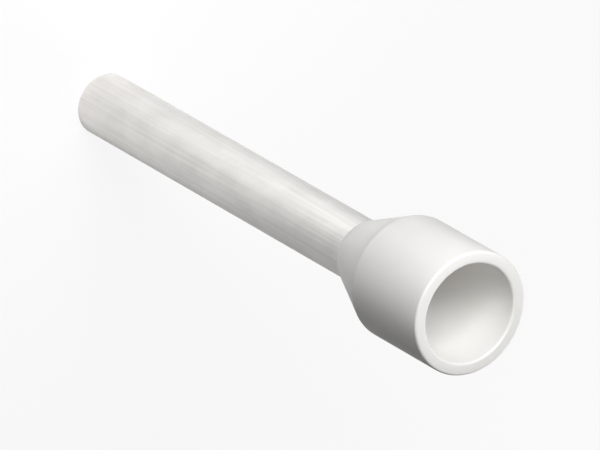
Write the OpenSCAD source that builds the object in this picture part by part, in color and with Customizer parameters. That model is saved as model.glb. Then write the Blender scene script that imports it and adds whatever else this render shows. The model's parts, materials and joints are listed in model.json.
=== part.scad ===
// Insulated wire ferrule, in millimetres.
// A thin tin-plated copper sleeve is flared at its inner end, and the flare is seated
// in the funnel of a moulded plastic collar. The wire's insulation goes into the
// collar's open socket, and its bared strands go down through the sleeve.
//
// Both pieces are turned about Z. The ferrule stands on the sleeve's cut end at height 0,
// with the mouth of the collar at the top, and the origin is the centre of the cut end.

/* [Sleeve] */
// Outer diameter of the sleeve
sleeve_d = 2.4; // [1.8:0.1:2.8]
// Wall of the sleeve
sleeve_wall = 0.15; // [0.12:0.01:0.25]
// Bare length of the sleeve, from its cut end to the collar
bare_len = 17.5; // [8:0.5:25]
// Radius on the edges of the cut end
cut_edge_r = 0.04; // [0.02:0.01:0.05]
// Angle of the flare from the axis
flare_angle = 40; // [30:1:50]
// Radius of the bend where the flare starts, on the collar's side
flare_bend_r = 0.25; // [0.15:0.05:0.4]

/* [Collar] */
// Outer diameter of the collar
collar_d = 4.8; // [4.5:0.1:6]
// Wall of the collar round its socket
collar_wall = 0.48; // [0.3:0.02:0.6]
// Length of the cylindrical skirt, from the shoulder to the mouth
skirt_len = 4.1; // [2:0.1:8]
// Length of the cone between the sleeve and the shoulder
cone_len = 2.65; // [2.2:0.05:4]
// Wall of the collar at the cone's small end
lip_wall = 0.1; // [0.05:0.01:0.25]
// How far the straight socket runs on past the shoulder, inside the cone
socket_overrun = 0.4; // [0:0.05:0.6]
// Radius on the inner and outer edges of the mouth
rim_r = 0.1; // [0.05:0.01:0.14]
// Radius on the shoulder
shoulder_r = 0.2; // [0.05:0.05:0.5]

/* [Fit] */
// Gap between the sleeve and the collar, along the neck and the funnel
seat_gap = 0.01; // [0.005:0.005:0.03]
// Room between the flare's rim and the wall of the socket
flare_room = 0.18; // [0.1:0.02:0.3]

/* [Hidden] */
$fn = 96;

// How far a hollow's outline runs on past the end that it opens
past = 1;

sleeve_r = sleeve_d / 2;
collar_r = collar_d / 2;
socket_r = collar_r - collar_wall;
neck_r = sleeve_r + seat_gap;
lip_r = sleeve_r + lip_wall;

// Heights of the shoulder, the mouth and the bottom of the straight socket
shoulder_z = bare_len + cone_len;
mouth_z = shoulder_z + skirt_len;
socket_z = shoulder_z - socket_overrun;

// The bend of the sleeve and the corner of the collar under it turn about one centre.
// It lies as deep as the funnel needs to open at flare_angle from the neck to the socket.
corner_r = flare_bend_r - seat_gap;
bend_x = sleeve_r + flare_bend_r;
funnel_foot_x = bend_x - corner_r * cos(flare_angle);
bend_z = socket_z - corner_r * sin(flare_angle) - (socket_r - funnel_foot_x) / tan(flare_angle);

// The flare runs straight on until its rounded rim is flare_room short of the socket's wall
flare_rim_x = socket_r - flare_room - sleeve_wall / 2;
flare_mid_x = bend_x - (flare_bend_r + sleeve_wall / 2) * cos(flare_angle);
flare_len = (flare_rim_x - flare_mid_x) / sin(flare_angle);

// The shoulder's rounding touches the skirt and the cone this far from their corner
cone_angle = atan((collar_r - lip_r) / cone_len);
shoulder_cut = shoulder_r * tan(cone_angle / 2);

// Centres of the rounded shoulder and of the mouth's rounded outer edge: [x, height]
shoulder = [collar_r - shoulder_r, shoulder_z + shoulder_cut];
rim = [collar_r - rim_r, mouth_z - rim_r];

// Half section of the collar as if it were solid, from the axis out
module collar_outline() {
    polygon([
        [0, bare_len],
        [lip_r, bare_len],
        [collar_r - shoulder_cut * sin(cone_angle), shoulder_z - shoulder_cut * cos(cone_angle)],
        shoulder,
        [collar_r, shoulder.y],
        [collar_r, rim.y],
        rim,
        [rim.x, mouth_z],
        [0, mouth_z]
    ]);
    translate(shoulder) circle(r = shoulder_r);
    translate(rim) circle(r = rim_r);
}

// Half section of the space inside the collar: neck, funnel and socket, with the
// rounded corner over the neck and the rounded inner edge of the mouth left standing
module collar_hollow() {
    inner_rim = [socket_r + rim_r, mouth_z - rim_r];
    difference() {
        polygon([
            [0, bare_len - past],
            [neck_r, bare_len - past],
            [neck_r, bend_z],
            [bend_x, bend_z],
            [funnel_foot_x, bend_z + corner_r * sin(flare_angle)],
            [socket_r, socket_z],
            [socket_r, inner_rim.y],
            inner_rim,
            [inner_rim.x, mouth_z + past],
            [0, mouth_z + past]
        ]);
        translate([bend_x, bend_z]) circle(r = corner_r);
        translate(inner_rim) circle(r = rim_r);
    }
}

// Straight wall of the sleeve, with both edges of its cut end rounded
module straight_section() {
    inner_r = sleeve_r - sleeve_wall;
    translate([inner_r, cut_edge_r]) square([sleeve_wall, bend_z - cut_edge_r]);
    translate([inner_r + cut_edge_r, 0]) square([sleeve_wall - 2 * cut_edge_r, 2 * cut_edge_r]);
    translate([inner_r + cut_edge_r, cut_edge_r]) circle(r = cut_edge_r);
    translate([sleeve_r - cut_edge_r, cut_edge_r]) circle(r = cut_edge_r);
}

// Bend, flare and rounded rim of the sleeve, about the centre of the bend
module flare_section() {
    outer_r = flare_bend_r + sleeve_wall;
    swing = 2 * outer_r;
    translate([bend_x, bend_z]) {
        intersection() {
            difference() {
                circle(r = outer_r);
                circle(r = flare_bend_r);
            }
            polygon([[0, 0], [-swing, 0], [-swing, swing * tan(flare_angle)]]);
        }
        rotate(-flare_angle) {
            translate([-outer_r, 0]) square([sleeve_wall, flare_len]);
            translate([-outer_r + sleeve_wall / 2, flare_len]) circle(d = sleeve_wall);
        }
    }
}

module plastic_collar() {
    color("white") rotate_extrude() difference() {
        collar_outline();
        collar_hollow();
    }
}

module metal_sleeve() {
    color("silver") rotate_extrude() {
        straight_section();
        flare_section();
    }
}

plastic_collar();
metal_sleeve();
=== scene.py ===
import json
from math import atan, cos, pi, radians, sin, tan

import bmesh
import bpy
from mathutils import Matrix, Vector


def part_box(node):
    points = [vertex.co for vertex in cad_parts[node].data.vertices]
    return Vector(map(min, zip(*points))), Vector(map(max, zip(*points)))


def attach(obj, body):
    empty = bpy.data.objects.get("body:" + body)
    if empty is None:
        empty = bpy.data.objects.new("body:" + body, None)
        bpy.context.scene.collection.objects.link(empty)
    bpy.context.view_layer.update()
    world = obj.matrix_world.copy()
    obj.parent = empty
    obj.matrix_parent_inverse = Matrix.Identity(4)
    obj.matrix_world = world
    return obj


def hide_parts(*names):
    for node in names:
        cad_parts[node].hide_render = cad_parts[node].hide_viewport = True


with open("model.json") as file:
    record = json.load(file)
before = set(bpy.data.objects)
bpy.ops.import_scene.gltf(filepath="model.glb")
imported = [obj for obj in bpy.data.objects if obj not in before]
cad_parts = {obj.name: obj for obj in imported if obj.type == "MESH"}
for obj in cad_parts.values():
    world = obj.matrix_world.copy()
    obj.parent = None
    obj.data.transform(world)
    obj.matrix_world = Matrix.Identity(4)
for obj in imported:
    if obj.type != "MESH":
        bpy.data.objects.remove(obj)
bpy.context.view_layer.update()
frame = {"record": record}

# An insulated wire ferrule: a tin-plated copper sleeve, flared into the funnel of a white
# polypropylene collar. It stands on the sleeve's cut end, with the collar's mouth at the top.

MM = 0.001

# ---------------------------------------------------------------- sizes, from the frame
mounts = {mount["name"]: mount for mount in frame["record"]["mounts"]}
collar_low, collar_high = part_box("plastic_collar")
sleeve_low, sleeve_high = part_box("metal_sleeve")

COLLAR_R = collar_high.x
LIP_Z = collar_low.z
MOUTH_Z = collar_high.z
SOCKET_R = mounts["wire_entry"]["dims"]["r_mm"] * MM
BORE_R = mounts["conductor_bore"]["dims"]["r_mm"] * MM
CUT_END_Z = sleeve_low.z

# Sizes that the frame doesn't state, as the solids have them
SLEEVE_WALL = 0.15 * MM
CUT_EDGE_R = 0.04 * MM
FLARE_ANGLE = radians(40)
FLARE_BEND_R = 0.25 * MM
SKIRT_LEN = 4.1 * MM
SOCKET_OVERRUN = 0.4 * MM
LIP_WALL = 0.1 * MM
RIM_R = 0.1 * MM
SHOULDER_R = 0.2 * MM
SEAT_GAP = 0.01 * MM
FLARE_ROOM = 0.18 * MM

SLEEVE_R = BORE_R + SLEEVE_WALL
SHOULDER_Z = MOUTH_Z - SKIRT_LEN
SOCKET_Z = SHOULDER_Z - SOCKET_OVERRUN

SPIN_STEPS = 192
BEVEL_SEGMENTS = 6


# ---------------------------------------------------------------- camera
def look(azimuth, elevation):
    """Unit vector from the object towards a viewer or a lamp in that direction, in degrees."""
    a, e = radians(azimuth), radians(elevation)
    return Vector((sin(a) * cos(e), -cos(a) * cos(e), sin(e)))


VIEW_AZIMUTH = 25
VIEW_ELEVATION = 50.1
# The camera is rolled until the sleeve runs down the frame from the upper left
VIEW_ROLL = radians(-119.93)
# So long a lens, in millimetres, that the view is all but parallel
LENS = 1000
SENSOR = 36
FRAME_WIDTH = 22.08 * MM
# The point in the middle of the frame, as a height and as a step to the camera's right
AIM_HEIGHT = 13.40 * MM
AIM_ASIDE = 0.29 * MM


def make_camera():
    back = look(VIEW_AZIMUTH, VIEW_ELEVATION)
    aside = Vector((cos(radians(VIEW_AZIMUTH)), sin(radians(VIEW_AZIMUTH)), 0))
    aim = Vector((0, 0, AIM_HEIGHT)) + aside * AIM_ASIDE
    data = bpy.data.cameras.new("camera")
    data.lens = LENS
    data.sensor_width = SENSOR
    distance = FRAME_WIDTH * LENS / SENSOR
    data.clip_start = 0.1 * distance
    data.clip_end = 10 * distance
    camera = bpy.data.objects.new("camera", data)
    bpy.context.scene.collection.objects.link(camera)
    level = back.to_track_quat("Z", "Y").to_matrix()
    turned = level @ Matrix.Rotation(-VIEW_ROLL, 3, "Z")
    camera.matrix_world = Matrix.Translation(aim + back * distance) @ turned.to_4x4()
    bpy.context.scene.camera = camera


# ---------------------------------------------------------------- shapes
def spun(section):
    """A closed section of (radius, height) corners, turned about Z into one solid."""
    bm = bmesh.new()
    corners = [bm.verts.new((x, 0, z)) for x, z in section]
    sides = [bm.edges.new(pair) for pair in zip(corners, corners[1:] + corners[:1])]
    bmesh.ops.spin(bm, geom=corners + sides, axis=(0, 0, 1), cent=(0, 0, 0), angle=2 * pi,
                   steps=SPIN_STEPS, use_merge=True)
    bmesh.ops.remove_doubles(bm, verts=bm.verts, dist=1e-7)
    bmesh.ops.recalc_face_normals(bm, faces=bm.faces)
    return bm


def round_ring(bm, corner, radius, turn):
    """Rounds the ring at a corner of the section, where the wall turns by that angle."""
    near = 1e-6
    at_corner = {v for v in bm.verts
                 if abs(v.co.xy.length - corner[0]) < near and abs(v.co.z - corner[1]) < near}
    ring = [e for e in bm.edges if e.verts[0] in at_corner and e.verts[1] in at_corner]
    bmesh.ops.bevel(bm, geom=ring, offset=radius * tan(turn / 2), offset_type="OFFSET",
                    affect="EDGES", segments=BEVEL_SEGMENTS, profile=0.5, material=-1,
                    clamp_overlap=False)


def finish_piece(bm, name, node, slot, *materials):
    mesh = bpy.data.meshes.new(name)
    bm.to_mesh(mesh)
    bm.free()
    mesh.shade_smooth()
    for material in materials:
        mesh.materials.append(material)
    piece = bpy.data.objects.new(name, mesh)
    bpy.context.scene.collection.objects.link(piece)
    normals = piece.modifiers.new("even_normals", "WEIGHTED_NORMAL")
    normals.keep_sharp = True
    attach(piece, "root")
    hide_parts(node)


def make_collar(satin, polished):
    """Moulded collar: cone, skirt, flat mouth with rounded edges, socket, funnel and neck."""
    lip_r = SLEEVE_R + LIP_WALL
    neck_r = SLEEVE_R + SEAT_GAP
    funnel_rise = (SOCKET_R - neck_r) / tan(FLARE_ANGLE)
    shoulder = (COLLAR_R, SHOULDER_Z)
    outer_rim = (COLLAR_R, MOUTH_Z)
    inner_rim = (SOCKET_R, MOUTH_Z)
    throat = (neck_r, SOCKET_Z - funnel_rise)
    bm = spun([(lip_r, LIP_Z), shoulder, outer_rim, inner_rim, (SOCKET_R, SOCKET_Z), throat,
               (neck_r, LIP_Z)])
    cone_angle = atan((COLLAR_R - lip_r) / (SHOULDER_Z - LIP_Z))
    round_ring(bm, shoulder, SHOULDER_R, cone_angle)
    round_ring(bm, outer_rim, RIM_R, pi / 2)
    round_ring(bm, inner_rim, RIM_R, pi / 2)
    round_ring(bm, throat, FLARE_BEND_R - SEAT_GAP, FLARE_ANGLE)
    for face in bm.faces:
        # The mould's core pin shapes every wall that faces the axis
        outward = face.normal.xy.dot(face.calc_center_median().xy.normalized())
        face.material_index = int(outward < -0.01)
    finish_piece(bm, "collar", "plastic_collar", "collar_plastic", satin, polished)


def make_sleeve(material):
    """Drawn sleeve: straight wall with a softened cut end, bent out into the flare."""
    slope = Vector((sin(FLARE_ANGLE), cos(FLARE_ANGLE)))
    across = Vector((cos(FLARE_ANGLE), -sin(FLARE_ANGLE)))
    neck_r = SLEEVE_R + SEAT_GAP
    throat_z = SOCKET_Z - (SOCKET_R - neck_r) / tan(FLARE_ANGLE)
    # The outer wall stands off the funnel by the seat gap, so its bend lies that much higher
    outer_bend = Vector((SLEEVE_R, throat_z + SEAT_GAP * tan(FLARE_ANGLE / 2)))
    inner_bend = outer_bend + Vector((-SLEEVE_WALL, SLEEVE_WALL * tan(FLARE_ANGLE / 2)))
    rim_mid_r = SOCKET_R - FLARE_ROOM - SLEEVE_WALL / 2
    mid_bend = (outer_bend + inner_bend) / 2
    rim_mid = mid_bend + slope * ((rim_mid_r - mid_bend.x) / slope.x + SLEEVE_WALL / 2)
    outer_lip = rim_mid + across * SLEEVE_WALL / 2
    inner_lip = rim_mid - across * SLEEVE_WALL / 2
    outer_cut = (SLEEVE_R, CUT_END_Z)
    inner_cut = (BORE_R, CUT_END_Z)
    bm = spun([outer_cut, outer_bend, outer_lip, inner_lip, inner_bend, inner_cut])
    round_ring(bm, outer_bend, FLARE_BEND_R, FLARE_ANGLE)
    round_ring(bm, inner_bend, FLARE_BEND_R + SLEEVE_WALL, FLARE_ANGLE)
    # Just under half the wall, so that the two roundings of the flare's rim don't meet
    lip_rounding = 0.49 * SLEEVE_WALL
    round_ring(bm, outer_lip, lip_rounding, pi / 2)
    round_ring(bm, inner_lip, lip_rounding, pi / 2)
    round_ring(bm, outer_cut, CUT_EDGE_R, pi / 2)
    round_ring(bm, inner_cut, CUT_EDGE_R, pi / 2)
    finish_piece(bm, "sleeve", "metal_sleeve", "tin_plated_copper", material)


# ---------------------------------------------------------------- materials
def linear(code):
    """An sRGB hex colour as the linear RGBA that the shaders take."""
    parts = [int(code[i:i + 2], 16) / 255 for i in (1, 3, 5)]
    return [c / 12.92 if c <= 0.04045 else ((c + 0.055) / 1.055) ** 2.4 for c in parts] + [1]


def add(tree, kind, links=None, inputs=None, **settings):
    """Adds a node with its settings, its constant inputs and the sockets that feed it."""
    node = tree.nodes.new(kind)
    for key, value in settings.items():
        setattr(node, key, value)
    for key, value in (inputs or {}).items():
        node.inputs[key].default_value = value
    for key, source in (links or {}).items():
        tree.links.new(source, node.inputs[key])
    return node


def new_material(name):
    material = bpy.data.materials.new(name)
    material.use_nodes = True
    material.node_tree.nodes.clear()
    return material, material.node_tree


def mottle(tree, across, along, detail=2.0):
    """Soft noise from 0 to 1 with spots of that size across Z and along it, in metres."""
    place = add(tree, "ShaderNodeTexCoord")
    scaled = add(tree, "ShaderNodeMapping", {"Vector": place.outputs["Object"]},
                 {"Scale": (1 / across, 1 / across, 1 / along)})
    noise = add(tree, "ShaderNodeTexNoise", {"Vector": scaled.outputs["Vector"]},
                {"Scale": 1.0, "Detail": detail})
    return noise.outputs["Fac"]


def tin_plating():
    """Tin plating on drawn copper: a bright satin silver.

    The drawing die leaves fine lengthwise lines, and the tin lies over them in soft clouds
    of slightly brighter and duller metal, with a fine matte crystal grain.
    """
    material, tree = new_material("tin_plating")
    clouds = mottle(tree, across=0.9 * MM, along=1.6 * MM, detail=3.0)
    # The spacing is a guess, wide enough for the lines to show at this size
    die_lines = mottle(tree, across=0.09 * MM, along=6 * MM)
    crystals = mottle(tree, across=0.06 * MM, along=0.06 * MM)
    streaked = add(tree, "ShaderNodeMath", {0: clouds, 1: die_lines}, operation="ADD")
    tone = add(tree, "ShaderNodeMapRange", {"Value": streaked.outputs[0]},
               {"From Min": 0.75, "From Max": 1.25})
    colour = add(tree, "ShaderNodeMix", {"Factor": tone.outputs[0]},
                 {6: linear("#dddbd8"), 7: linear("#ebe9e6")}, data_type="RGBA")
    gloss = add(tree, "ShaderNodeMapRange", {"Value": tone.outputs[0]},
                {"To Min": 0.42, "To Max": 0.31})
    ridges = add(tree, "ShaderNodeBump", {"Height": die_lines},
                 {"Strength": 1.0, "Distance": 0.006 * MM})
    skin = add(tree, "ShaderNodeBump", {"Height": crystals, "Normal": ridges.outputs["Normal"]},
               {"Strength": 1.0, "Distance": 0.0015 * MM})
    shader = add(tree, "ShaderNodeBsdfPrincipled",
                 {"Base Color": colour.outputs[2], "Roughness": gloss.outputs[0],
                  "Normal": skin.outputs["Normal"]}, {"Metallic": 1.0})
    add(tree, "ShaderNodeOutputMaterial", {"Surface": shader.outputs["BSDF"]})
    return material


# How far the roughness of the plastic strays to either side
GLOSS_DRIFT = 0.05


def polypropylene(name, roughness, grain, grain_depth):
    """Moulded white polypropylene, milky because light enters its thin wall a little way.

    The grain is what the mould's own surface leaves on it: eroded steel gives the satin
    outside, and the core pin's polish gives the smoother socket. The gloss drifts slowly,
    as the plastic flowed.
    """
    material, tree = new_material(name)
    flow = mottle(tree, across=1.5 * MM, along=2.5 * MM)
    pits = mottle(tree, across=grain, along=grain)
    colour = add(tree, "ShaderNodeMix", {"Factor": flow},
                 {6: linear("#ecebe8"), 7: linear("#f3f2f0")}, data_type="RGBA")
    gloss = add(tree, "ShaderNodeMapRange", {"Value": flow},
                {"To Min": roughness - GLOSS_DRIFT, "To Max": roughness + GLOSS_DRIFT})
    relief = add(tree, "ShaderNodeBump", {"Height": pits},
                 {"Strength": 1.0, "Distance": grain_depth})
    shader = add(tree, "ShaderNodeBsdfPrincipled",
                 {"Base Color": colour.outputs[2], "Roughness": gloss.outputs[0],
                  "Normal": relief.outputs["Normal"]},
                 {"IOR": 1.49, "Subsurface Weight": 0.2,
                  "Subsurface Radius": (1.0, 0.95, 0.85), "Subsurface Scale": 0.3 * MM})
    add(tree, "ShaderNodeOutputMaterial", {"Surface": shader.outputs["BSDF"]})
    return material


# ---------------------------------------------------------------- floor, world and lamps
def seen_rays(tree):
    """1 for rays that show the surroundings: the camera's, and those in metal and plastic."""
    path = add(tree, "ShaderNodeLightPath")
    first = add(tree, "ShaderNodeMath",
                {0: path.outputs["Is Camera Ray"], 1: path.outputs["Is Glossy Ray"]},
                operation="MAXIMUM")
    both = add(tree, "ShaderNodeMath",
               {0: first.outputs[0], 1: path.outputs["Is Transmission Ray"]},
               operation="MAXIMUM")
    return both.outputs[0]


FLOOR_GREY = "#e8e8e8"
# Half the side of the square floor, in metres
FLOOR_REACH = 4.0
# How far the floor is lifted to white where the camera sees it, near the object. Farther out
# the lift becomes whole, so that no horizon shows.
SEEN_LIFT = 0.87
FADE_START = 15 * MM
FADE_END = 150 * MM


def make_floor():
    """A plain pale floor. Seen directly it is lifted to white, and it keeps the shadow."""
    bm = bmesh.new()
    bmesh.ops.create_grid(bm, x_segments=1, y_segments=1, size=FLOOR_REACH)
    mesh = bpy.data.meshes.new("floor")
    bm.to_mesh(mesh)
    bm.free()
    material, tree = new_material("pale_floor")
    paint = add(tree, "ShaderNodeBsdfDiffuse", inputs={"Color": linear(FLOOR_GREY)})
    glow = add(tree, "ShaderNodeEmission", inputs={"Color": (1, 1, 1, 1), "Strength": 1.0})
    place = add(tree, "ShaderNodeTexCoord")
    reach = add(tree, "ShaderNodeVectorMath", {0: place.outputs["Object"]}, operation="LENGTH")
    far = add(tree, "ShaderNodeMapRange", {"Value": reach.outputs["Value"]},
              {"From Min": FADE_START, "From Max": FADE_END, "To Min": SEEN_LIFT, "To Max": 1.0},
              interpolation_type="SMOOTHSTEP")
    path = add(tree, "ShaderNodeLightPath")
    lift = add(tree, "ShaderNodeMath",
               {0: path.outputs["Is Camera Ray"], 1: far.outputs[0]}, operation="MULTIPLY")
    both = add(tree, "ShaderNodeMixShader",
               {"Fac": lift.outputs[0], 1: paint.outputs[0], 2: glow.outputs[0]})
    add(tree, "ShaderNodeOutputMaterial", {"Surface": both.outputs[0]})
    mesh.materials.append(material)
    floor = bpy.data.objects.new("floor", mesh)
    floor.location.z = CUT_END_Z
    bpy.context.scene.collection.objects.link(floor)


# Strength of the white surroundings as light. Seen directly or in metal they are plain white.
AMBIENT = 0.06


def make_world():
    world = bpy.data.worlds.new("studio")
    world.use_nodes = True
    tree = world.node_tree
    tree.nodes.clear()
    level = add(tree, "ShaderNodeMapRange", {"Value": seen_rays(tree)},
                {"To Min": AMBIENT, "To Max": 1.0})
    sky = add(tree, "ShaderNodeBackground", {"Strength": level.outputs[0]},
              {"Color": (1, 1, 1, 1)})
    add(tree, "ShaderNodeOutputWorld", {"Surface": sky.outputs[0]})
    bpy.context.scene.world = world


# Each lamp is a softbox, placed by its bearing from what it is aimed at. Its azimuth counts
# from the camera's, and lengths are in millimetres. A surface at the aim that faces the lamp
# shows its own colour times level.
KEY = dict(aim=(0, 0, 12), azimuth=-35, elevation=48, distance=50, size=22, level=0.6)
# Lights the flat mouth and the socket from close by
TOP = dict(aim=(0, 0, 24), azimuth=-50, elevation=58, distance=18, size=8, level=0.4)
# Brightens the floor that the sleeve mirrors on its lit side
WASH = dict(aim=(0, 0, 0), azimuth=-50, elevation=90, distance=20, size=26, level=1.35, out=20)
# Keeps the far side readable from behind
BACK = dict(aim=(0, 0, 12), azimuth=180, elevation=15, distance=60, size=24, level=0.42)


def make_softbox(name, aim, azimuth, elevation, distance, size, level, out=0):
    """A square lamp over a point that lies out from aim, towards the lamp's azimuth."""
    bearing = VIEW_AZIMUTH + azimuth
    towards = look(bearing, elevation)
    place = (Vector(aim) + look(bearing, 0) * out + towards * distance) * MM
    data = bpy.data.lights.new(name, "AREA")
    data.shape = "SQUARE"
    data.size = size * MM
    data.energy = level * (pi * distance * MM) ** 2
    lamp = bpy.data.objects.new(name, data)
    turned = towards.to_track_quat("Z", "Y").to_matrix().to_4x4()
    lamp.matrix_world = Matrix.Translation(place) @ turned
    lamp.visible_camera = False
    bpy.context.scene.collection.objects.link(lamp)


make_camera()
make_collar(
    polypropylene("satin_polypropylene", roughness=0.45, grain=0.07 * MM, grain_depth=0.003 * MM),
    polypropylene("polished_polypropylene", roughness=0.37, grain=0.04 * MM,
                  grain_depth=0.0004 * MM))
make_sleeve(tin_plating())
make_floor()
make_world()
make_softbox("key", **KEY)
make_softbox("top", **TOP)
make_softbox("wash", **WASH)
make_softbox("back", **BACK)

bpy.context.scene.view_settings.view_transform = "Standard"
